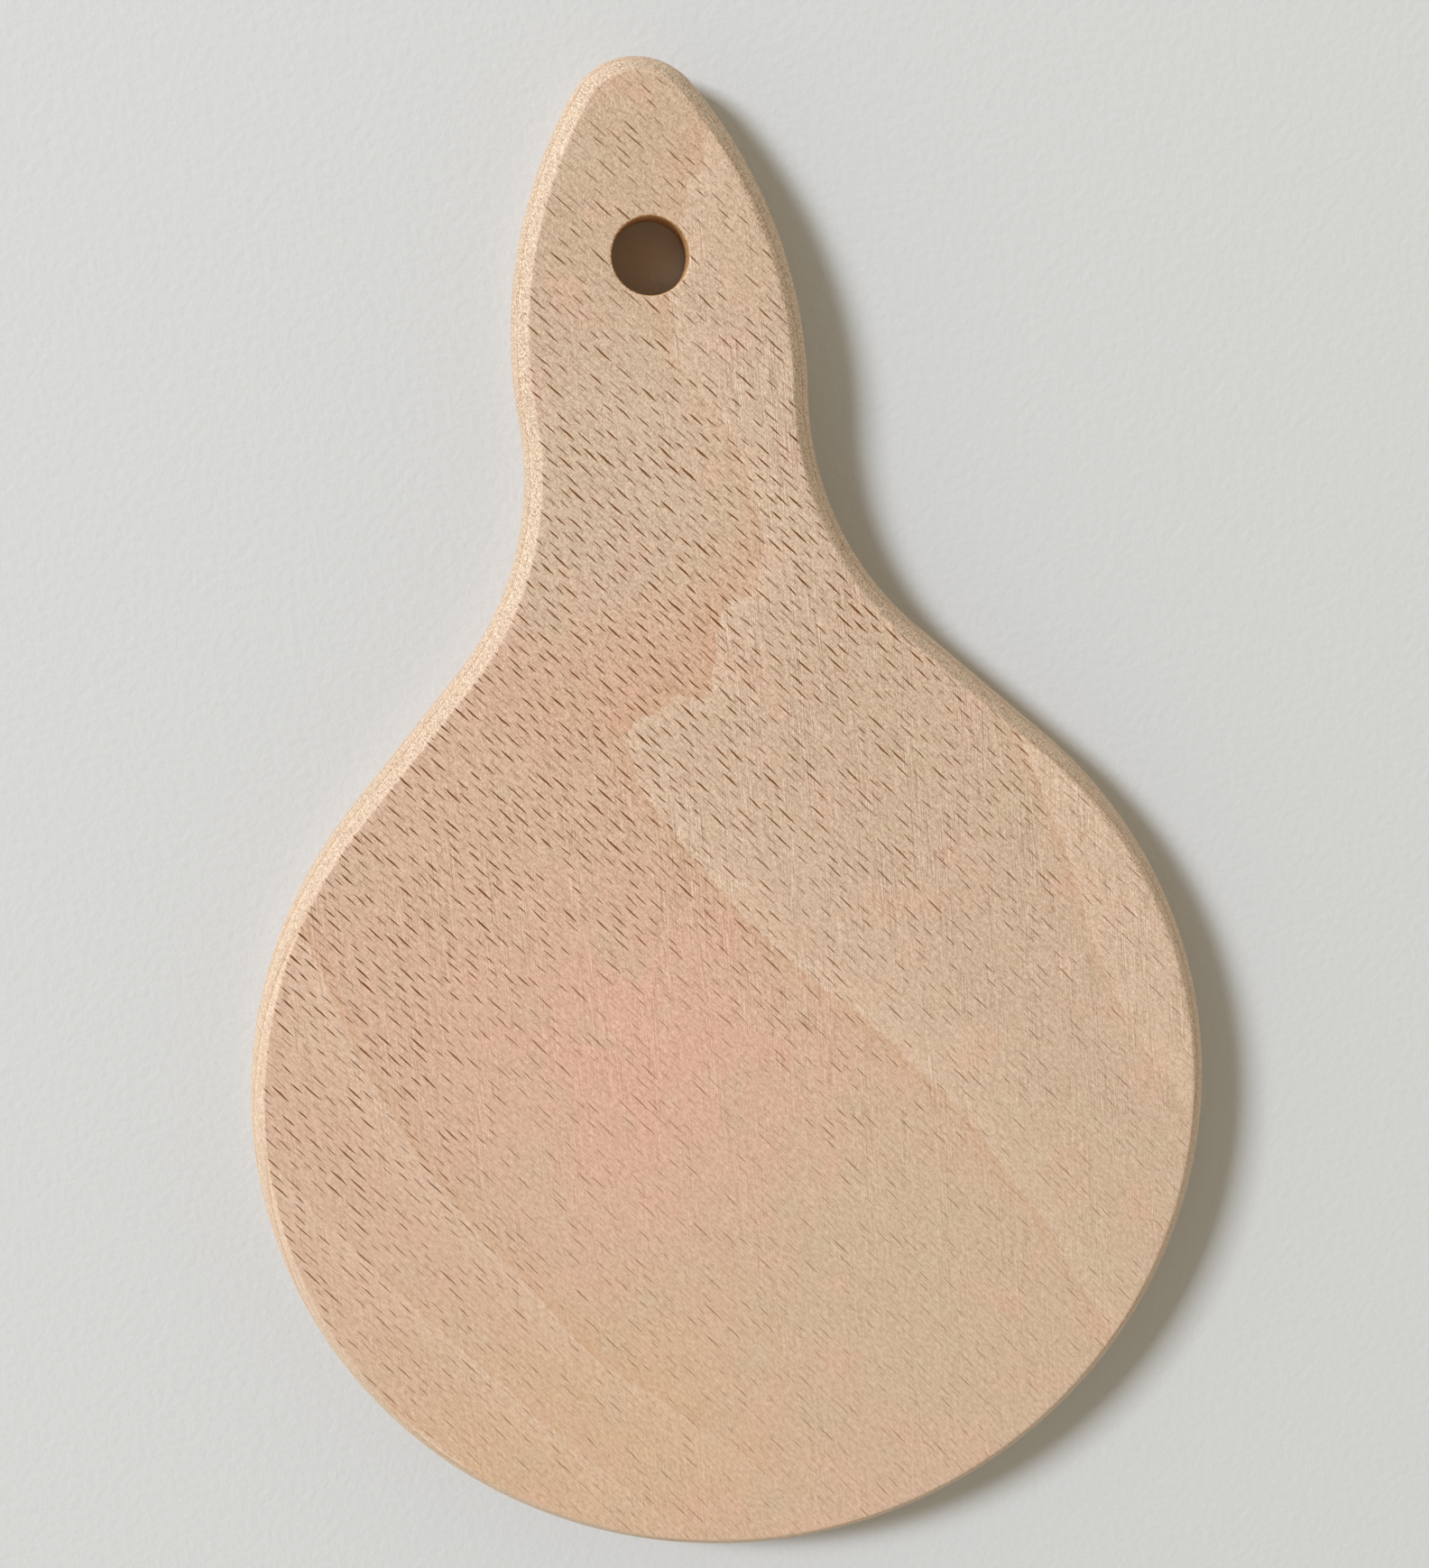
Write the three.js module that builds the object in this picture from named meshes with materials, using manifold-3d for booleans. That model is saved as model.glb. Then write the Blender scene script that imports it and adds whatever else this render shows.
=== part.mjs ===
// Round serving board with a pointed handle and a hanging hole, worked from one piece of solid beech.
// Millimetres, +Z up. The board lies on its underside: the origin is the centre of the disc on that face,
// the handle runs along +Y and the serving face looks up.

import * as THREE from 'three';
import { mergeVertices } from 'three/addons/utils/BufferGeometryUtils.js';
import Module from 'manifold-3d';

// Driving dimensions of the board
const discDiameter = 160;
const thickness = 12;
const edgeRun = 2.8; // the rim of each face lies this far inside the widest line of the edge

// Driving dimensions of the handle
const handleReach = 88.6; // from the rim of the disc to the point of the handle
const handleWidth = 46.6; // at its widest place
const widestFromTip = 48.3; // that place, measured back from the point
const tipRadius = 11.4; // of the rounded point
const neckRadius = 50; // of the hollow curve that runs from the shoulder into the handle
const shoulderAngle = 44.5; // degrees round the disc from +X, where the straight shoulder leaves it

// Driving dimensions of the hanging hole
const holeDiameter = 12;
const holeFromTip = 30.5; // its centre, measured back from the point
const holeEase = 0.4; // both rims are taken off by this much, at 45 degrees

// Facet counts
const discSteps = 76; // on each side, from the foot of the disc to the shoulder
const neckSteps = 20;
const sideSteps = 22;
const tipSteps = 10; // on each side
const edgeSteps = 10; // across the edge, from face to face
const holeSteps = 56;

const wasm = await Module();
wasm.setup();

const discRadius = discDiameter / 2;
const tipY = discRadius + handleReach;
const holeY = tipY - holeFromTip;

// The arcs of the right half of the outline at its widest line, from the foot of the disc to the point.
// Each touches the next one, apart from the straight shoulder between the disc and the neck.
function outlineArcs() {
  const halfWidth = handleWidth / 2;
  const shoulder = THREE.MathUtils.degToRad(shoulderAngle);
  const discCentre = new THREE.Vector2(0, 0);
  const tipCentre = new THREE.Vector2(0, tipY - tipRadius);

  // The long side is square to the widest place and wraps round the tip's arc
  const sideReach = halfWidth ** 2 + widestFromTip ** 2 - 2 * widestFromTip * tipRadius;
  const sideRadius = sideReach / (2 * (halfWidth - tipRadius));
  const sideCentre = new THREE.Vector2(halfWidth - sideRadius, tipY - widestFromTip);

  // The neck rolls along the shoulder line until it touches the long side
  const outward = new THREE.Vector2(Math.cos(shoulder), Math.sin(shoulder));
  const along = new THREE.Vector2(-outward.y, outward.x);
  const neckStart = outward.clone().multiplyScalar(discRadius + neckRadius);
  const fromSide = neckStart.clone().sub(sideCentre);
  const ahead = fromSide.dot(along);
  const excess = fromSide.lengthSq() - (sideRadius + neckRadius) ** 2;
  const shoulderLength = -ahead - Math.sqrt(ahead ** 2 - excess);
  const neckCentre = neckStart.addScaledVector(along, shoulderLength);

  const neckToSide = sideCentre.clone().sub(neckCentre);
  const sideToNeck = neckToSide.clone().negate();
  const sideToTip = tipCentre.clone().sub(sideCentre);
  const angleOf = (vector) => Math.atan2(vector.y, vector.x);
  return [
    { centre: discCentre, radius: discRadius, from: -Math.PI / 2, to: shoulder, steps: discSteps },
    {
      centre: neckCentre,
      radius: neckRadius,
      from: shoulder + Math.PI,
      to: angleOf(neckToSide),
      steps: neckSteps,
      hollow: true,
      afterStraight: true,
    },
    { centre: sideCentre, radius: sideRadius, from: angleOf(sideToNeck), to: angleOf(sideToTip), steps: sideSteps },
    { centre: tipCentre, radius: tipRadius, from: angleOf(sideToTip), to: Math.PI / 2, steps: tipSteps },
  ];
}

// The whole outline, anticlockwise, moved in from the widest line by the inset.
// Moving in keeps every centre: it only shortens the round arcs and lengthens the hollow one.
function outline(arcs, inset) {
  const right = [];
  for (const arc of arcs) {
    const radius = arc.hollow ? arc.radius + inset : arc.radius - inset;
    const { x, y } = arc.centre;
    const curve = new THREE.EllipseCurve(x, y, radius, radius, arc.from, arc.to, arc.hollow ?? false);
    const points = curve.getPoints(arc.steps);
    const startsOnLast = right.length > 0 && !arc.afterStraight;
    right.push(...(startsOnLast ? points.slice(1) : points));
  }
  const left = right.slice(1, -1).reverse();
  return [...right, ...left.map((point) => new THREE.Vector2(-point.x, point.y))];
}

// The blank: outlines stacked from the underside to the serving face, closed by the two flat faces.
// Across the edge they follow one arc, which is widest at mid-thickness and meets each face in a crisp rim.
function blankGeometry() {
  const arcs = outlineArcs();
  const half = thickness / 2;
  const crownRadius = (half ** 2 + edgeRun ** 2) / (2 * edgeRun);
  const crownSweep = Math.atan2(half, crownRadius - edgeRun);

  const positions = [];
  for (let step = 0; step <= edgeSteps; step += 1) {
    const angle = crownSweep * ((2 * step) / edgeSteps - 1);
    const height = half + crownRadius * Math.sin(angle);
    const inset = crownRadius * (1 - Math.cos(angle));
    for (const point of outline(arcs, inset)) positions.push(point.x, point.y, height);
  }

  const faceOutline = outline(arcs, edgeRun);
  const count = faceOutline.length;
  const indices = [];
  for (let step = 0; step < edgeSteps; step += 1) {
    for (let i = 0; i < count; i += 1) {
      const low = step * count + i;
      const lowNext = step * count + ((i + 1) % count);
      indices.push(low, lowNext, lowNext + count, low, lowNext + count, low + count);
    }
  }
  const top = edgeSteps * count;
  for (const [a, b, c] of THREE.ShapeUtils.triangulateShape(faceOutline, [])) {
    indices.push(a, c, b);
    indices.push(top + a, top + b, top + c);
  }

  const geometry = new THREE.BufferGeometry();
  geometry.setAttribute('position', new THREE.Float32BufferAttribute(positions, 3));
  geometry.setIndex(indices);
  return geometry;
}

// The cutter of the hanging hole: a straight bore that opens at 45 degrees at both faces and runs past them.
function holeGeometry() {
  const past = 1;
  const radius = holeDiameter / 2;
  const mouth = radius + holeEase + past;
  const profile = [
    new THREE.Vector2(0, -past),
    new THREE.Vector2(mouth, -past),
    new THREE.Vector2(radius, holeEase),
    new THREE.Vector2(radius, thickness - holeEase),
    new THREE.Vector2(mouth, thickness + past),
    new THREE.Vector2(0, thickness + past),
  ];
  const geometry = new THREE.LatheGeometry(profile, holeSteps);
  geometry.rotateX(Math.PI / 2);
  geometry.translate(0, holeY, 0);
  return geometry;
}

// A closed mesh as a solid: shared vertices are merged, and triangles that fold to a line on the axis go.
function solidOf(geometry) {
  geometry.deleteAttribute('normal');
  geometry.deleteAttribute('uv');
  const merged = mergeVertices(geometry);
  const index = merged.getIndex().array;
  const corners = [];
  for (let i = 0; i < index.length; i += 3) {
    const triangle = index.slice(i, i + 3);
    if (new Set(triangle).size === 3) corners.push(...triangle);
  }
  const vertProperties = merged.getAttribute('position').array;
  const triVerts = new Uint32Array(corners);
  return new wasm.Manifold(new wasm.Mesh({ numProp: 3, vertProperties, triVerts }));
}

function geometryOf(solid) {
  const mesh = solid.getMesh();
  const geometry = new THREE.BufferGeometry();
  geometry.setAttribute('position', new THREE.BufferAttribute(mesh.vertProperties, 3));
  geometry.setIndex(new THREE.BufferAttribute(mesh.triVerts, 1));
  geometry.computeVertexNormals();
  return geometry;
}

// The board: the blank with the hanging hole bored through its handle
function makeBoard() {
  const drilled = solidOf(blankGeometry()).subtract(solidOf(holeGeometry()));
  const beech = new THREE.MeshStandardMaterial({ color: '#d2b596', roughness: 0.72, metalness: 0 });
  const board = new THREE.Mesh(geometryOf(drilled), beech);
  board.name = 'board';
  return board;
}

const servingBoard = new THREE.Group();
servingBoard.add(makeBoard());

export default servingBoard;
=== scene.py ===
import math

import bmesh
import bpy
from mathutils import Matrix, Vector, noise


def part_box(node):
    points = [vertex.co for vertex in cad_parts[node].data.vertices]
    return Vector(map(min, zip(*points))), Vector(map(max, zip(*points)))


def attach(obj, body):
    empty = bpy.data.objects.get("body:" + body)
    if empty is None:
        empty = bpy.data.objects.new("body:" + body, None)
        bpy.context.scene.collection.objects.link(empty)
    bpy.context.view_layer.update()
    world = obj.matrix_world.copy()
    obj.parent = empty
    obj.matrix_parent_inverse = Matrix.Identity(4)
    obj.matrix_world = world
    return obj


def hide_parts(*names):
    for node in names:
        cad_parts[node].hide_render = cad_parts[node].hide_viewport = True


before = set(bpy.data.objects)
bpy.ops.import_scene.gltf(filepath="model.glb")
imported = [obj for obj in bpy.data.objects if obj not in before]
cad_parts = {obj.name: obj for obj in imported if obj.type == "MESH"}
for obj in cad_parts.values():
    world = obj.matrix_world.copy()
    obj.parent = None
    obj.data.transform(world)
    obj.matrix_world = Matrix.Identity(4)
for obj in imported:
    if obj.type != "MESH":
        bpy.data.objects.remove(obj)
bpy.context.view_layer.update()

# Dimensions of the board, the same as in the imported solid
board_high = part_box("board")[1]
thickness = board_high.z
tip_y = board_high.y
disc_radius = 0.080
edge_run = 0.0028
handle_half_width = 0.0233
widest_from_tip = 0.0483
tip_radius = 0.0114
neck_radius = 0.050
shoulder_angle = math.radians(44.5)
hole_radius = 0.006
hole_from_tip = 0.0305
hole_y = tip_y - hole_from_tip

# Finish of the rims, finer than the solid shows: eased by hand, a little more here and less there
rim_ease = 0.00030
rim_ease_change = 0.45
rim_ease_waves = 60
rim_ease_seed = 3.7
hole_ease = 0.00035

# Fineness of the visible mesh, and the narrow border of each face beside its rim
outline_step = 0.0009
crown_steps = 14
ease_steps = 4
hole_steps = 112
face_border = 0.0012
hole_border = 3 * hole_ease


# The outline

def arc_points(centre, radius, start, end, hollow=False):
    """Points of one arc with the normal that looks out of the board at each."""
    steps = max(2, math.ceil(abs(end - start) * radius / outline_step))
    side = -1 if hollow else 1
    made = []
    for step in range(steps + 1):
        angle = start + (end - start) * step / steps
        ray = Vector((math.cos(angle), math.sin(angle)))
        made.append((centre + ray * radius, ray * side))
    return made


def angle_of(vector):
    return math.atan2(vector.y, vector.x)


def outline():
    """The outline at its widest line, anticlockwise.

    Each side has the disc, a straight shoulder, the hollow neck, the long side of the handle and the tip.
    """
    tip_centre = Vector((0, tip_y - tip_radius))
    side_reach = handle_half_width ** 2 + widest_from_tip ** 2 - 2 * widest_from_tip * tip_radius
    side_radius = side_reach / (2 * (handle_half_width - tip_radius))
    side_centre = Vector((handle_half_width - side_radius, tip_y - widest_from_tip))

    outward = Vector((math.cos(shoulder_angle), math.sin(shoulder_angle)))
    along = Vector((-outward.y, outward.x))
    neck_start = outward * (disc_radius + neck_radius)
    from_side = neck_start - side_centre
    ahead = from_side.dot(along)
    excess = from_side.length_squared - (side_radius + neck_radius) ** 2
    shoulder_length = -ahead - math.sqrt(ahead ** 2 - excess)
    neck_centre = neck_start + along * shoulder_length

    neck_from = shoulder_angle + math.pi
    neck_to = angle_of(side_centre - neck_centre) % (2 * math.pi)
    side_from = angle_of(neck_centre - side_centre)
    side_to = angle_of(tip_centre - side_centre)

    right = arc_points(Vector((0, 0)), disc_radius, -math.pi / 2, shoulder_angle)
    shoulder_steps = max(1, round(shoulder_length / outline_step))
    for step in range(1, shoulder_steps):
        right.append((outward * disc_radius + along * shoulder_length * step / shoulder_steps, outward))
    right += arc_points(neck_centre, neck_radius, neck_from, neck_to, hollow=True)
    right += arc_points(side_centre, side_radius, side_from, side_to)[1:]
    right += arc_points(tip_centre, tip_radius, side_to, math.pi / 2)[1:]
    left = [(Vector((-p.x, p.y)), Vector((-n.x, n.y))) for p, n in reversed(right[1:-1])]
    return right + left


# The board

def bend(first, corner, last, steps):
    """Points of a short curve that rounds a corner from first to last."""
    made = []
    for step in range(steps + 1):
        t = step / steps
        made.append(first * (1 - t) ** 2 + corner * (2 * t * (1 - t)) + last * t ** 2)
    return made


def edge_profile(ease):
    """The edge from the middle of its crown up to the face, as pairs of inset and height."""
    half = thickness / 2
    crown_radius = (half ** 2 + edge_run ** 2) / (2 * edge_run)
    sweep = math.atan2(half, crown_radius - edge_run)
    last = sweep - ease / crown_radius

    def on_crown(angle):
        return Vector((crown_radius * (1 - math.cos(angle)), crown_radius * math.sin(angle)))

    crown = [on_crown(last * step / crown_steps) for step in range(crown_steps)]
    corner = Vector((edge_run, half))
    on_face = Vector((edge_run + ease, half))
    rim = bend(on_crown(last), corner, on_face, ease_steps)
    return crown + rim + [Vector((edge_run + face_border, half))]


def hole_profile():
    """The hole's wall from the middle up to the face, as pairs of radius and height."""
    half = thickness / 2
    wall = [Vector((hole_radius, 0)), Vector((hole_radius, half / 2))]
    on_wall = Vector((hole_radius, half - hole_ease))
    corner = Vector((hole_radius, half))
    on_face = Vector((hole_radius + hole_ease, half))
    return wall + bend(on_wall, corner, on_face, ease_steps) + [Vector((hole_radius + hole_border, half))]


def skin(mesh, rings):
    """Quads between rings of vertices that follow each other."""
    for lower, upper in zip(rings, rings[1:]):
        for i in range(len(lower)):
            j = (i + 1) % len(lower)
            mesh.faces.new((lower[i], lower[j], upper[j], upper[i]))


def loop_edges(mesh, ring):
    return [mesh.edges.get((ring[i - 1], ring[i])) for i in range(len(ring))]


def board_mesh():
    mesh = bmesh.new()
    half = thickness / 2
    shape = outline()
    profiles = []
    for point, normal in shape:
        worn = noise.noise(Vector((point.x * rim_ease_waves, point.y * rim_ease_waves, rim_ease_seed)))
        profiles.append(edge_profile(rim_ease * (1 + rim_ease_change * worn)))

    count = len(profiles[0])
    rings = []
    for level in list(range(1 - count, 0)) + list(range(count)):
        ring = []
        for (point, normal), profile in zip(shape, profiles):
            inset, rise = profile[abs(level)]
            spot = point - normal * inset
            ring.append(mesh.verts.new((spot.x, spot.y, half + math.copysign(rise, level))))
        rings.append(ring)
    skin(mesh, rings)

    bore = hole_profile()
    bore_rings = []
    for level in list(range(len(bore) - 1, 0, -1)) + list(range(0, -len(bore), -1)):
        radius, rise = bore[abs(level)]
        height = half + math.copysign(rise, level)
        ring = []
        for step in range(hole_steps):
            angle = 2 * math.pi * step / hole_steps
            x = radius * math.cos(angle)
            y = hole_y + radius * math.sin(angle)
            ring.append(mesh.verts.new((x, y, height)))
        bore_rings.append(ring)
    skin(mesh, bore_rings)

    for outer, inner in ((rings[0], bore_rings[-1]), (rings[-1], bore_rings[0])):
        border = loop_edges(mesh, outer) + loop_edges(mesh, inner)
        bmesh.ops.triangle_fill(mesh, use_beauty=True, use_dissolve=False, edges=border)
    bmesh.ops.recalc_face_normals(mesh, faces=mesh.faces)
    for face in mesh.faces:
        face.smooth = True

    data = bpy.data.meshes.new("beech_board")
    mesh.to_mesh(data)
    mesh.free()
    return data


# Helpers for materials

def paint(red, green, blue):
    """A colour as a screen shows it, from 0 to 255, in the numbers a shader takes.

    The numbers below are those of the standard screen curve.
    """
    made = []
    for level in (red, green, blue):
        part = level / 255
        made.append(part / 12.92 if part <= 0.04045 else ((part + 0.055) / 1.055) ** 2.4)
    return (*made, 1.0)


def between(share, low, high):
    """What lies at this share of the way from low to high."""
    return share * (high - low) + low


class Amount:
    """A number that a material works out at each point. Sums with it add the nodes that do them."""

    def __init__(self, shader, socket):
        self.shader = shader
        self.socket = socket

    def __add__(self, other):
        return self.shader.math("ADD", self, other)

    def __sub__(self, other):
        return self.shader.math("SUBTRACT", self, other)

    def __rsub__(self, other):
        return self.shader.math("SUBTRACT", other, self)

    def __mul__(self, other):
        return self.shader.math("MULTIPLY", self, other)

    def __truediv__(self, other):
        return self.shader.math("DIVIDE", self, other)

    def __abs__(self):
        return self.shader.math("ABSOLUTE", self)


class Shader:
    """The nodes of one material."""

    def __init__(self, name):
        self.material = bpy.data.materials.new(name)
        self.material.use_nodes = True
        self.tree = self.material.node_tree
        self.tree.nodes.clear()

    def feed(self, socket, value):
        if isinstance(value, Amount):
            value = value.socket
        if isinstance(value, bpy.types.NodeSocket):
            self.tree.links.new(value, socket)
        else:
            socket.default_value = value

    def add(self, kind, inputs, **settings):
        node = self.tree.nodes.new(kind)
        for name, value in settings.items():
            setattr(node, name, value)
        for key, value in inputs.items():
            self.feed(node.inputs[key], value)
        return node

    def math(self, operation, *values):
        node = self.add("ShaderNodeMath", dict(enumerate(values)), operation=operation)
        return Amount(self, node.outputs[0])

    def smaller(self, first, second):
        return self.math("MINIMUM", first, second)

    def larger(self, first, second):
        return self.math("MAXIMUM", first, second)

    def hypotenuse(self, first, second):
        return self.math("SQRT", first * first + second * second)

    def dot(self, vector, direction):
        node = self.add("ShaderNodeVectorMath", {0: vector, 1: direction}, operation="DOT_PRODUCT")
        return Amount(self, node.outputs["Value"])

    def scale(self, vector, factor):
        node = self.add("ShaderNodeVectorMath", {0: vector, "Scale": factor}, operation="SCALE")
        return node.outputs["Vector"]

    def place(self, x, y, z=0.0):
        return self.add("ShaderNodeCombineXYZ", {"X": x, "Y": y, "Z": z}).outputs[0]

    def split(self, vector):
        return [Amount(self, output) for output in self.add("ShaderNodeSeparateXYZ", {0: vector}).outputs]

    def noise(self, vector, detail=2.0, roughness=0.5):
        """Soft noise about zero."""
        inputs = {"Vector": vector, "Scale": 1.0, "Detail": detail, "Roughness": roughness}
        node = self.add("ShaderNodeTexNoise", inputs, noise_dimensions="3D")
        return Amount(self, node.outputs["Fac"]) - 0.5

    def ramp(self, value, start, end, low=0.0, high=1.0):
        """A smooth step from low to high as the value goes from start to end."""
        inputs = {"Value": value, "From Min": start, "From Max": end, "To Min": low, "To Max": high}
        node = self.add("ShaderNodeMapRange", inputs, interpolation_type="SMOOTHSTEP", clamp=True)
        return Amount(self, node.outputs["Result"])

    def curve(self, value, points, reach):
        """A smooth line through a few points; both of its axes run from minus reach to plus reach."""
        node = self.add("ShaderNodeFloatCurve", {"Value": value * (0.5 / reach) + 0.5})
        line = node.mapping.curves[0]
        spots = [((x / reach + 1) / 2, (y / reach + 1) / 2) for x, y in points]
        line.points[0].location = spots[0]
        line.points[1].location = spots[-1]
        for spot in spots[1:-1]:
            line.points.new(*spot)
        for point in line.points:
            point.handle_type = "AUTO_CLAMPED"
        node.mapping.update()
        return (Amount(self, node.outputs[0]) - 0.5) * (2 * reach)

    def mix(self, factor, first, second):
        node = self.tree.nodes.new("ShaderNodeMix")
        node.data_type = "RGBA"
        self.feed(node.inputs[0], factor)
        self.feed(node.inputs[6], first)
        self.feed(node.inputs[7], second)
        return node.outputs[2]


# Colours of the beech
beech_plain = paint(211, 177, 151)
beech_outer = paint(207, 178, 151)
beech_handle = paint(208, 181, 154)
beech_tip = paint(202, 174, 146)
beech_early = paint(221, 191, 164)
beech_late = paint(207, 164, 129)
beech_pink = paint(220, 173, 150)
beech_orange = paint(210, 169, 140)
beech_straw = paint(210, 177, 142)
beech_grey = paint(205, 180, 151)
beech_fleck = paint(116, 62, 0)
beech_edge = paint(194, 172, 147)
beech_edge_line = paint(176, 138, 104)
# The drilled end grain's own deeper tone, made browner and more orange as painted shade so the hole reads
# dark brown
beech_bore_end_grain_and_shade = paint(188, 143, 90)

# How far the edge takes on its own colour, the bore its end-grain tone with painted shade, and the rims a
# pale line of sanding wear and painted highlight
edge_share = 0.8
bore_end_grain_and_shade_share = 0.9
rim_wear_and_highlight_share = 0.35

# How much each mark lightens and darkens the wood; blue changes more than red, as on a screen
sanding_shade = 0.36
grain_shade = 0.60
fibre_shade = 0.25
dots_shade = 0.60
fleck_border_shade = 0.07
shade_on_red = 0.82
shade_on_blue = 1.18

# Millimetres in a metre
millimetres = 1000.0

# How high each mark stands, in millimetres, and how rough and shiny the wood is
sanding_height = 0.045
grain_height = 0.060
dots_height = 0.040
fleck_depth = 0.05
wood_roughness = 0.58
dots_roughness = 0.25
wood_specular = 0.45

# The grain runs on the diagonal, from the upper left to the lower right, and turns a little on its way up
grain_along = (0.643, -0.766, 0.0)
grain_across = (0.766, 0.643, 0.0)
grain_turn = -0.00049
grain_turn_centre = 45.0

# Growth rings on the serving face in millimetres, as places along and across the grain.
# The board is cut flat through one ring: its boundary shows right and left of the middle,
# and one more beyond each.
ring_reach = 120.0
right_ring = (
    (-120, 29), (-51, 28), (-38, 25.8), (-17, 23.7), (-4, 24.3), (22, 26), (47, 22.2), (73, 16), (120, 6),
)
right_next = ((-120, 118), (-30, 86), (-7, 75), (7.5, 69), (19, 63), (31, 58), (53, 52), (120, 44))
left_ring = ((-120, -8), (-70, -28), (-48, -37), (-21, -44), (9, -47), (22, -46.4), (47, -43), (120, -30))
left_next = ((-120, -48), (-49, -59), (-20, -61), (13, -61.5), (41, -60.5), (120, -54))
# The right ring ends in a blunt, stepped point across the grain: places across, then along
ring_point = (
    (-120, -50), (28, -50), (32, -57), (41, -55), (45, -52), (50, -54.5), (59, -59.5),
    (64, -58), (68, -61), (73, -67.5), (78, -79), (81, -93), (120, -118),
)
# How thick one ring is down into the board, how wide the flat middle is, and the least gaps beyond it
ring_thickness = 2.6
middle_width = 80.0
least_right_gap = 12.0
least_left_gap = 8.0
# How far the boundaries wander, and how the stepped point meets the right boundary
ring_wander = 2.6
ring_raggedness = 1.2
point_wander = 5.0
point_slope_inside = 0.45
point_slope_outside = 1.5
point_rounding = 2.0

# The broad tones: how far their borders wander, in millimetres, and in how many waves per millimetre
tone_wander = 40.0
tone_waves = 0.035
tone_shift = (5.0, 8.0, 2.0)
# How pale the wood is beyond the next ring on the right
beyond_share = 0.3

# How clear the late line, the fade before it and the line on the edge are
late_line_share = 0.26
late_fade_share = 0.15
edge_line_share = 0.5

# Two sets of ray flecks, in millimetres: the cell that holds each fleck, and its half length and half width
bold_flecks = {"row_step": 5.0, "row_width": 1.22, "half_length": 2.25, "half_width": 0.156, "seed": 3.0}
hair_flecks = {"row_step": 6.0, "row_width": 0.80, "half_length": 2.3, "half_width": 0.070, "seed": 11.0}
hair_share = 0.32
fleck_bend = 0.4
fleck_drift = 9.0
# Flecks grow stronger this way, and are weak round the pink heart; weak ones are rarer and fade one by one
fleck_way = (-0.5, 0.87, 0.0)
heart_x = -15.0
heart_y = 3.0
rarer_where_weak = 0.75
rare_fade_before = 0.15
rare_fade_after = 0.7
fleck_on_edge = 0.15
# How far chance moves a fleck in its cell, as shares of the cell
stagger_chance = 0.2
lengthwise_chance = 0.16
sideways_chance = 0.3
# Where a fleck ends, and where the paler wood beside it begins to fade and how much wider it is
fleck_end = 1.05
border_from = 0.40
border_width = 3.0

# Sanding and dots are clearer this way up the board, coarse lines count for less than close ones,
# and dots are this much clearer on the edge
sanding_way = (0.3, 0.95, 0.0)
coarse_share = 0.7
edge_dots = 2.2
# Soft grain, fibres and dots, in waves per millimetre: two ways on the face, and down into the wood
grain_waves = (1.0, 2.0, 2.0)
fibre_waves = (0.20, 4.2, 4.2)
dots_waves = (3.8, 3.0, 3.8)


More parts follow.
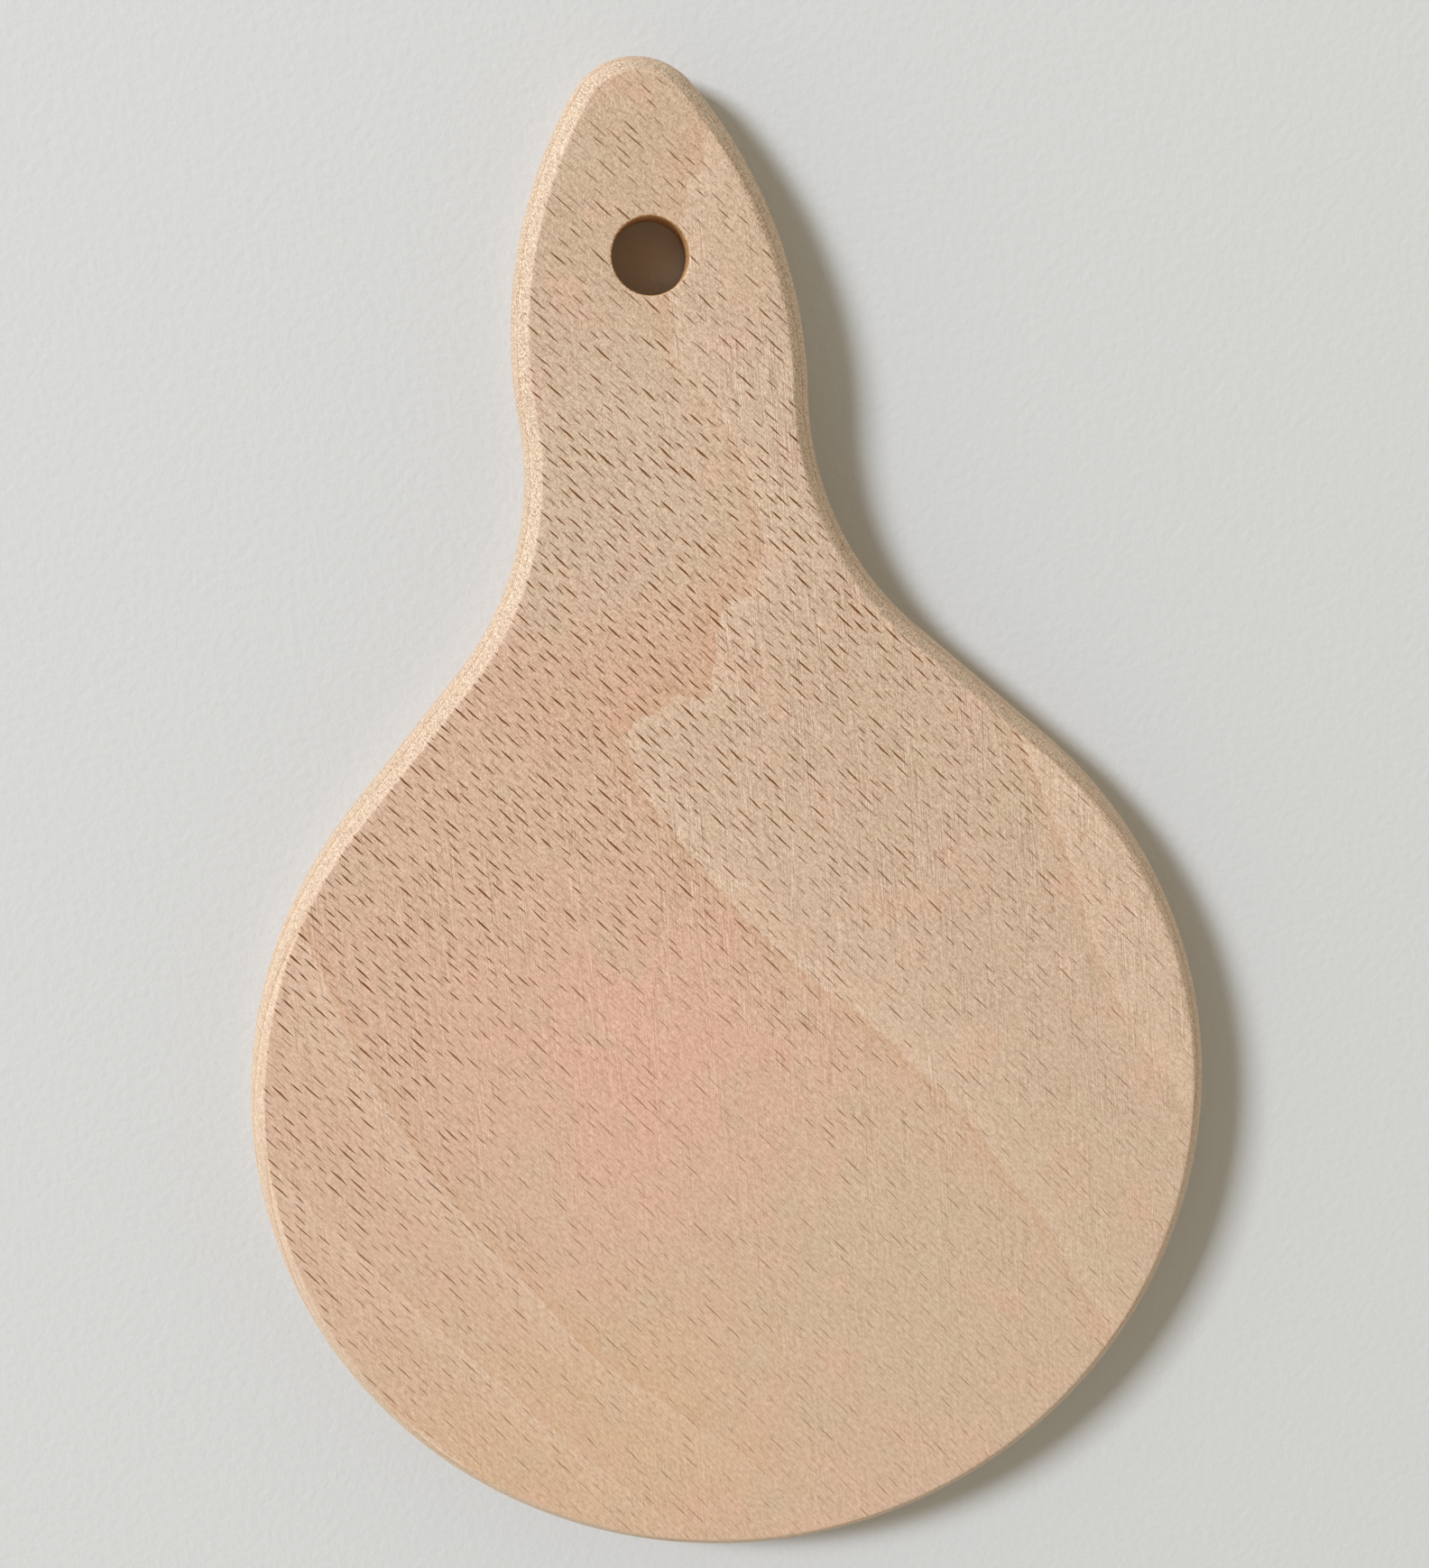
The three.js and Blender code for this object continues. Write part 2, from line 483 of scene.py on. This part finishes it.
class Beech(Shader):
    """Sanded, untreated beech, worked out in millimetres from the place of each point in the board."""

    def __init__(self):
        super().__init__("beech")
        surface = self.add("ShaderNodeTexCoord", {})
        self.spot = self.scale(surface.outputs["Object"], millimetres)
        self.x, self.y, self.z = self.split(self.spot)
        self.along = self.dot(self.spot, grain_along)
        self.across = self.dot(self.spot, grain_across)
        self.bent_across = self.across + self.along * self.turn_of_grain()
        facing_up = abs(self.split(surface.outputs["Normal"])[2])
        self.on_face = self.ramp(facing_up, start=0.80, end=0.99)
        self.on_edge = 1.0 - self.on_face
        # The rim band, which gets a pale line of sanding wear and painted highlight
        rim_begins = self.ramp(facing_up, start=0.66, end=0.80)
        self.on_rim = rim_begins * self.ramp(facing_up, start=0.97, end=0.999, low=1.0, high=0.0)
        from_axis = self.hypotenuse(self.x, self.y - hole_y * millimetres)
        into_wood = from_axis - hole_radius * millimetres
        self.in_bore = self.ramp(into_wood, start=0.1, end=0.3, low=1.0, high=0.0)

    def turn_of_grain(self):
        """The grain lies a little flatter towards the handle: how far it turns from its mean direction."""
        rise = self.across * grain_across[1] + self.along * (grain_along[1] / 2)
        return (rise - grain_turn_centre) * grain_turn

    def finish(self):
        self.count_rings()
        colour = self.mix(self.on_edge * edge_share, self.tones(), beech_edge)
        colour = self.ring_lines(colour)
        # The bore wall gets the end grain's deeper tone with painted shade mixed in
        colour = self.mix(self.in_bore * bore_end_grain_and_shade_share, colour, beech_bore_end_grain_and_shade)
        fleck, fleck_border = self.ray_flecks()
        colour = self.mix(fleck, colour, beech_fleck)
        # Painted highlight along the eased rims, together with sanding wear: the rim band is lightened
        # towards the pale early wood
        colour = self.mix(self.on_rim * rim_wear_and_highlight_share, colour, beech_early)

        sanding = self.sanding_lines()
        grain, fibre, dots = self.pores()
        shade = sanding * sanding_shade + grain * grain_shade + fibre * fibre_shade + dots * dots_shade
        shade = shade + fleck_border * fleck_border_shade
        shades = self.place(shade * shade_on_red + 1.0, shade + 1.0, shade * shade_on_blue + 1.0)
        shaded = self.add("ShaderNodeVectorMath", {0: colour, 1: shades}, operation="MULTIPLY")

        height = sanding * sanding_height + grain * grain_height + dots * dots_height - fleck * fleck_depth
        bump = self.add("ShaderNodeBump", {"Strength": 1.0, "Distance": 1 / millimetres, "Height": height})
        inputs = {
            "Base Color": shaded.outputs["Vector"],
            "Roughness": dots * dots_roughness + wood_roughness,
            "Specular IOR Level": wood_specular,
            "Normal": bump.outputs["Normal"],
        }
        shader = self.add("ShaderNodeBsdfPrincipled", inputs)
        self.add("ShaderNodeOutputMaterial", {"Surface": shader.outputs[0]})
        return self.material

    def noise_all_ways(self, waves, detail):
        """Soft noise that is alike every way, in waves per millimetre."""
        return self.noise(self.scale(self.spot, waves), detail)

    def noise_in_depth(self, x, y, waves):
        """Soft noise on the two given ways and down into the wood."""
        return self.noise(self.place(x * waves[0], y * waves[1], self.z * waves[2]), detail=1.0)

    def noise_in_grain(self, along_waves, across_waves, seed, detail):
        """Soft noise drawn out along the grain, in waves per millimetre each way."""
        return self.noise(self.place(self.along * along_waves, self.across * across_waves, seed), detail)

    def noise_up_board(self, x_waves, y_waves, seed, detail):
        """Soft noise drawn out up and down the board, in waves per millimetre each way."""
        return self.noise(self.place(self.x * x_waves, self.y * y_waves, seed), detail)

    def count_rings(self):
        """A count that rises by one from ring to ring across the face, and falls with depth below it."""
        slow = self.noise_in_grain(along_waves=0.05, across_waves=0.10, seed=3.0, detail=1.0)
        quick = self.noise_in_grain(along_waves=0.03, across_waves=0.22, seed=7.0, detail=1.0)
        ragged = self.noise_all_ways(waves=0.9, detail=1.0)
        across = self.across + slow * ring_wander + ragged * ring_raggedness
        along = self.along + quick * point_wander

        past_right = across - self.curve(self.along, right_ring, ring_reach)
        past_point = along - self.curve(across, ring_point, ring_reach)
        inside = self.math("SMOOTH_MIN", past_right, past_point * point_slope_inside, point_rounding)
        outside = self.smaller(past_right, past_point * point_slope_outside)
        past_right_next = across - self.curve(self.along, right_next, ring_reach)
        right_gap = self.larger(past_right - past_right_next, least_right_gap)
        right_inside = self.smaller(inside, 0.0) / middle_width
        self.right_count = right_inside + self.larger(outside, 0.0) / right_gap

        past_left = self.curve(self.along, left_ring, ring_reach) - across
        past_left_next = self.curve(self.along, left_next, ring_reach) - across
        left_gap = self.larger(past_left - past_left_next, least_left_gap)
        left_inside = self.smaller(past_left, 0.0) / middle_width
        left_count = left_inside + self.larger(past_left, 0.0) / left_gap

        depth = thickness * millimetres - self.z
        count = self.larger(self.right_count, left_count) - depth / ring_thickness
        self.ring_part = self.math("FRACT", count)

    def tones(self):
        """The broad tones: a pinker heart, yellower and greyer parts beyond the rings."""
        slow = self.scale(self.spot, tone_waves)
        shifted = self.add("ShaderNodeVectorMath", {0: slow, 1: tone_shift}, operation="ADD")
        x = self.x + self.noise(slow, detail=3.0) * tone_wander
        y = self.y + self.noise(shifted.outputs["Vector"], detail=3.0) * tone_wander

        def patch(centre, reach, strength):
            side = (x - centre[0]) / reach[0]
            rise = (y - centre[1]) / reach[1]
            return self.ramp(self.hypotenuse(side, rise), start=0.1, end=1.0, low=strength, high=0.0)

        outer = self.ramp(self.right_count, start=-0.004, end=0.004)
        inner = 1.0 - outer
        heart = patch(centre=(-16.0, 12.0), reach=(50.0, 42.0), strength=0.85)
        heart = heart * between(inner, low=0.4, high=1.0)
        neck = patch(centre=(-9.0, 72.0), reach=(26.0, 22.0), strength=0.5) * inner
        lower_left = patch(centre=(-30.0, -54.0), reach=(68.0, 44.0), strength=0.85)
        lower_right = patch(centre=(38.0, -36.0), reach=(54.0, 50.0), strength=0.7)
        beyond = self.ramp(self.right_count, start=0.99, end=1.02) * beyond_share
        cloud = self.noise_all_ways(waves=0.12, detail=2.0)
        pink_cloud = self.ramp(cloud, start=0.02, end=0.25, low=0.0, high=0.35)
        grey_cloud = self.ramp(cloud, start=-0.25, end=-0.02, low=0.5, high=0.0)

        colour = self.mix(outer, beech_plain, beech_outer)
        colour = self.mix(self.ramp(y, start=78.0, end=100.0), colour, beech_handle)
        colour = self.mix(self.ramp(self.y, start=112.0, end=142.0), colour, beech_tip)
        colour = self.mix(heart, colour, beech_pink)
        colour = self.mix(neck, colour, beech_orange)
        colour = self.mix(lower_left, colour, beech_straw)
        colour = self.mix(lower_right, colour, beech_grey)
        colour = self.mix(beyond, colour, beech_early)
        colour = self.mix(pink_cloud, colour, beech_pink)
        return self.mix(grey_cloud, colour, beech_grey)

    def ring_lines(self, colour):
        """Each ring ends in a thin, broken, darker line of late wood, and the next begins pale.

        The lines grow fainter down the grain, most of all on the left.
        """
        patchy = self.noise_all_ways(waves=0.16, detail=2.0)
        broken = self.ramp(patchy, start=-0.12, end=0.12, low=0.45, high=1.15)
        line = self.ramp(self.ring_part, start=0.966, end=0.992) * broken
        fade = self.ramp(self.ring_part, start=0.89, end=1.0)
        on_edge = self.ramp(self.ring_part, start=0.74, end=0.97) * self.on_edge
        crisp = self.ramp(self.ring_part, start=0.0, end=0.12, low=0.25, high=0.0)
        early = crisp + self.ramp(self.ring_part, start=0.0, end=0.50, low=0.32, high=0.0)
        lasting = self.ramp(self.across, start=-30.0, end=10.0, low=0.2, high=0.6)
        shown = 1.0 - (1.0 - lasting) * self.ramp(self.along, start=0.0, end=65.0)
        late = (line * late_line_share + fade * late_fade_share) * shown
        colour = self.mix(early * shown, colour, beech_early)
        colour = self.mix(late, colour, beech_late)
        return self.mix(on_edge * edge_line_share, colour, beech_edge_line)

    def ray_flecks(self):
        """Short dark spindles along the grain, in a bold set and a faint one.

        Gives how dark they are, and how near a point lies to one of the bold ones.
        """
        bend = self.noise_in_grain(along_waves=0.30, across_waves=0.15, seed=4.0, detail=2.0)
        drift = self.noise_in_grain(along_waves=0.012, across_waves=0.12, seed=6.0, detail=0.0)
        across = self.bent_across + bend * fleck_bend
        along = self.along + drift * fleck_drift

        strength = self.ramp(self.dot(self.spot, fleck_way), start=-65.0, end=90.0, low=0.48, high=1.12)
        strength = strength * self.ramp(self.y, start=95.0, end=140.0, low=1.0, high=0.80)
        from_heart = self.hypotenuse(self.x - heart_x, self.y - heart_y)
        strength = strength * self.ramp(from_heart, start=14.0, end=38.0, low=0.76, high=1.0)
        rarer_at_tip = self.ramp(self.y, start=100.0, end=135.0, low=0.0, high=0.2)
        rare = (1.0 - strength) * rarer_where_weak + rarer_at_tip

        def core(length, width, shown):
            solid_to = between(strength, low=0.05, high=0.65)
            return self.ramp(length + width, start=solid_to, end=fleck_end, low=1.0, high=0.0) * shown

        length, width, shown = self.spindles(along, across, strength, rare, **bold_flecks)
        bold = core(length, width, shown)
        near = length + width / border_width
        border = self.ramp(near, start=border_from, end=fleck_end, low=1.0, high=0.0) * shown
        hair = core(*self.spindles(along, across, strength, rare, **hair_flecks))
        seen = strength * between(self.on_face, low=fleck_on_edge, high=1.0)
        return self.larger(bold, hair * hair_share) * seen, (border - bold) * seen

    def spindles(self, along, across, strength, rare, row_step, row_width, half_length, half_width, seed):
        """Rows of cells along the grain with one spindle in each; each row is half a step from the next.

        Gives how far a point lies along its spindle, squared, and beside it, both 1 at its end, and how
        clear that spindle is. No two are alike. Where they are weak they are longer, softer and rarer.
        Numbers added to the seed only keep the draws apart.
        """
        rows = across / row_width + seed
        row = self.math("FLOOR", rows)
        stagger = self.chances(row, 0.5, seed)[0] * stagger_chance + row * 0.5
        steps = along / row_step + stagger
        step = self.math("FLOOR", steps)
        chance = self.chances(row, step, seed + 0.5)
        other = self.chances(step, row, seed + 1.5)
        ahead = (steps - step - 0.5 - (chance[0] - 0.5) * lengthwise_chance) * row_step
        aside = (rows - row - 0.5 - (chance[1] - 0.5) * sideways_chance) * row_width
        long = between(other[0], low=0.45, high=1.05) * between(strength, low=1.45, high=1.0)
        wide = between(other[0], low=0.7, high=1.1) * between(other[1], low=0.75, high=1.25)
        length = ahead / (long * half_length)
        width = abs(aside) / (wide * half_width)
        fade_from = rare - rare_fade_before
        fade_to = rare + rare_fade_after
        shown = self.ramp(chance[2], start=fade_from, end=fade_to, low=0.15, high=1.0)
        return length * length, width, shown

    def chances(self, x, y, z):
        """Three random shares that belong to one cell."""
        node = self.add("ShaderNodeTexWhiteNoise", {"Vector": self.place(x, y, z)}, noise_dimensions="3D")
        return self.split(node.outputs["Color"])

    def clearness(self):
        """Sanding lines and dots are clearer towards the handle."""
        return self.ramp(self.dot(self.spot, sanding_way), start=-60.0, end=90.0, low=0.5, high=1.6)

    def sanding_lines(self):
        """Lines up and down the face, in bundles, fainter inside the ring at the neck and at the tip."""
        uneven = self.noise_up_board(x_waves=0.25, y_waves=0.04, seed=5.0, detail=2.0)
        bundles = self.ramp(uneven, start=-0.12, end=0.15, low=0.3, high=1.8)
        coarse = self.noise_up_board(x_waves=2.6, y_waves=0.09, seed=1.0, detail=1.0)
        close = self.noise_up_board(x_waves=5.0, y_waves=0.20, seed=8.0, detail=1.0)
        inside_ring = self.ramp(self.right_count, start=-0.02, end=0.02, low=0.7, high=0.0)
        spared = inside_ring * self.ramp(self.y, start=40.0, end=70.0)
        towards_tip = self.ramp(self.y, start=115.0, end=150.0, low=1.0, high=0.5)
        sanded = self.clearness() * (1.0 - spared) * towards_tip * self.on_face
        return (coarse * coarse_share + close) * bundles * sanded

    def pores(self):
        """A soft grain, long fibres and small dots, which are clearer on the edge."""
        grain = self.noise_in_depth(self.along, self.bent_across, grain_waves)
        fibre = self.noise_in_depth(self.along, self.bent_across, fibre_waves)
        dots = self.noise_in_depth(self.x, self.y, dots_waves)
        dots = dots * self.clearness() * between(self.on_edge, low=1.0, high=edge_dots)
        return grain, fibre, dots


board = bpy.data.objects.new("board_wood", board_mesh())
bpy.context.scene.collection.objects.link(board)
board.data.materials.append(Beech().finish())
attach(board, "root")
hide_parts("board")


# The floor

floor_radius = 2.0
floor_sides = 128
floor_colour = paint(214, 214, 212)
floor_roughness = 0.85
floor_specular = 0.2
floor_grit_waves = 700.0
floor_grit_height = 0.0004
floor_grit_strength = 0.25


def pale_floor():
    plain = Shader("pale_floor")
    surface = plain.add("ShaderNodeTexCoord", {})
    grit = plain.noise(plain.scale(surface.outputs["Object"], floor_grit_waves), detail=3.0)
    relief = {"Strength": floor_grit_strength, "Distance": floor_grit_height, "Height": grit}
    bump = plain.add("ShaderNodeBump", relief)
    inputs = {
        "Base Color": floor_colour,
        "Roughness": floor_roughness,
        "Specular IOR Level": floor_specular,
        "Normal": bump.outputs["Normal"],
    }
    shader = plain.add("ShaderNodeBsdfPrincipled", inputs)
    plain.add("ShaderNodeOutputMaterial", {"Surface": shader.outputs[0]})
    return plain.material


floor_mesh = bpy.data.meshes.new("floor")
floor_rim = []
for side in range(floor_sides):
    turn = 2 * math.pi * side / floor_sides
    floor_rim.append((floor_radius * math.cos(turn), floor_radius * math.sin(turn), 0))
floor_mesh.from_pydata(floor_rim, [], [range(floor_sides)])
floor = bpy.data.objects.new("floor", floor_mesh)
bpy.context.scene.collection.objects.link(floor)
floor.data.materials.append(pale_floor())


# The light: a soft cool key from the left, low enough to model the edge, and a warm surround

key_target = Vector((0, 0.045, thickness))
key_azimuth = math.radians(148)
key_elevation = math.radians(38.5)
key_distance = 5.0
key_size = 1.15
key_power = 244.0
key_tint = (0.94, 1.0, 1.11)
surround_side = 1.16
surround_overhead = 0.0
surround_tint = (1.10, 1.0, 0.80, 1.0)
surround_seen = 0.72
surround_seen_tint = (1.0, 1.0, 1.0, 1.0)

key_data = bpy.data.lights.new("key", "AREA")
key_data.shape = "SQUARE"
key_data.size = key_size
key_data.energy = key_power
key_data.color = key_tint
key = bpy.data.objects.new("key", key_data)
key_way = Vector((
    math.cos(key_azimuth) * math.cos(key_elevation),
    math.sin(key_azimuth) * math.cos(key_elevation),
    math.sin(key_elevation),
))
key.location = key_target + key_way * key_distance
key.rotation_mode = "QUATERNION"
key.rotation_quaternion = key_way.to_track_quat("Z", "Y")
bpy.context.scene.collection.objects.link(key)

world = bpy.data.worlds.new("studio")
world.use_nodes = True
bpy.context.scene.world = world
world.node_tree.nodes.clear()
world_nodes = world.node_tree.nodes
world_links = world.node_tree.links
# The surround is bright at the sides and dark overhead; seen straight or mirrored it is one pale tone
sky_way = world_nodes.new("ShaderNodeTexCoord")
sky_parts = world_nodes.new("ShaderNodeSeparateXYZ")
sky_level = world_nodes.new("ShaderNodeMapRange")
sky_level.inputs["To Min"].default_value = surround_side
sky_level.inputs["To Max"].default_value = surround_overhead
light_path = world_nodes.new("ShaderNodeLightPath")
seen_or_mirrored = world_nodes.new("ShaderNodeMath")
seen_or_mirrored.operation = "MAXIMUM"
seen_at_all = world_nodes.new("ShaderNodeMath")
seen_at_all.operation = "MAXIMUM"
seen_level = world_nodes.new("ShaderNodeMapRange")
seen_level.inputs["To Max"].default_value = surround_seen
background = world_nodes.new("ShaderNodeBackground")
sky_tint = world_nodes.new("ShaderNodeMix")
sky_tint.data_type = "RGBA"
sky_tint.inputs[6].default_value = surround_tint
sky_tint.inputs[7].default_value = surround_seen_tint
world_output = world_nodes.new("ShaderNodeOutputWorld")
world_links.new(sky_way.outputs["Generated"], sky_parts.inputs[0])
world_links.new(sky_parts.outputs["Z"], sky_level.inputs["Value"])
world_links.new(light_path.outputs["Is Camera Ray"], seen_or_mirrored.inputs[0])
world_links.new(light_path.outputs["Is Glossy Ray"], seen_or_mirrored.inputs[1])
world_links.new(seen_or_mirrored.outputs[0], seen_at_all.inputs[0])
world_links.new(light_path.outputs["Is Transmission Ray"], seen_at_all.inputs[1])
world_links.new(seen_at_all.outputs[0], seen_level.inputs["Value"])
world_links.new(seen_at_all.outputs[0], sky_tint.inputs[0])
world_links.new(sky_tint.outputs[2], background.inputs["Color"])
world_links.new(sky_level.outputs["Result"], seen_level.inputs["To Min"])
world_links.new(seen_level.outputs["Result"], background.inputs["Strength"])
world_links.new(background.outputs[0], world_output.inputs["Surface"])


# The camera stands nearly straight over the board

camera_place = Vector((-0.01767, 0.11783, 0.36226))
camera_target = Vector((0.00178, 0.05453, thickness))
camera_lean = math.radians(5.61)
camera_lens = 50.75
camera_sensor = 36.0
camera_near = 0.01
camera_far = 50.0

camera_data = bpy.data.cameras.new("camera")
camera_data.sensor_width = camera_sensor
camera_data.lens = camera_lens
camera_data.clip_start = camera_near
camera_data.clip_end = camera_far
camera = bpy.data.objects.new("camera", camera_data)
camera_back = (camera_place - camera_target).normalized()
camera_up_hint = Vector((math.sin(camera_lean), math.cos(camera_lean), 0))
camera_right = camera_up_hint.cross(camera_back).normalized()
camera_up = camera_back.cross(camera_right)
camera_turn = Matrix((camera_right, camera_up, camera_back)).transposed()
camera.matrix_world = Matrix.Translation(camera_place) @ camera_turn.to_4x4()
bpy.context.scene.collection.objects.link(camera)
bpy.context.scene.camera = camera
bpy.context.scene.view_settings.view_transform = "Standard"
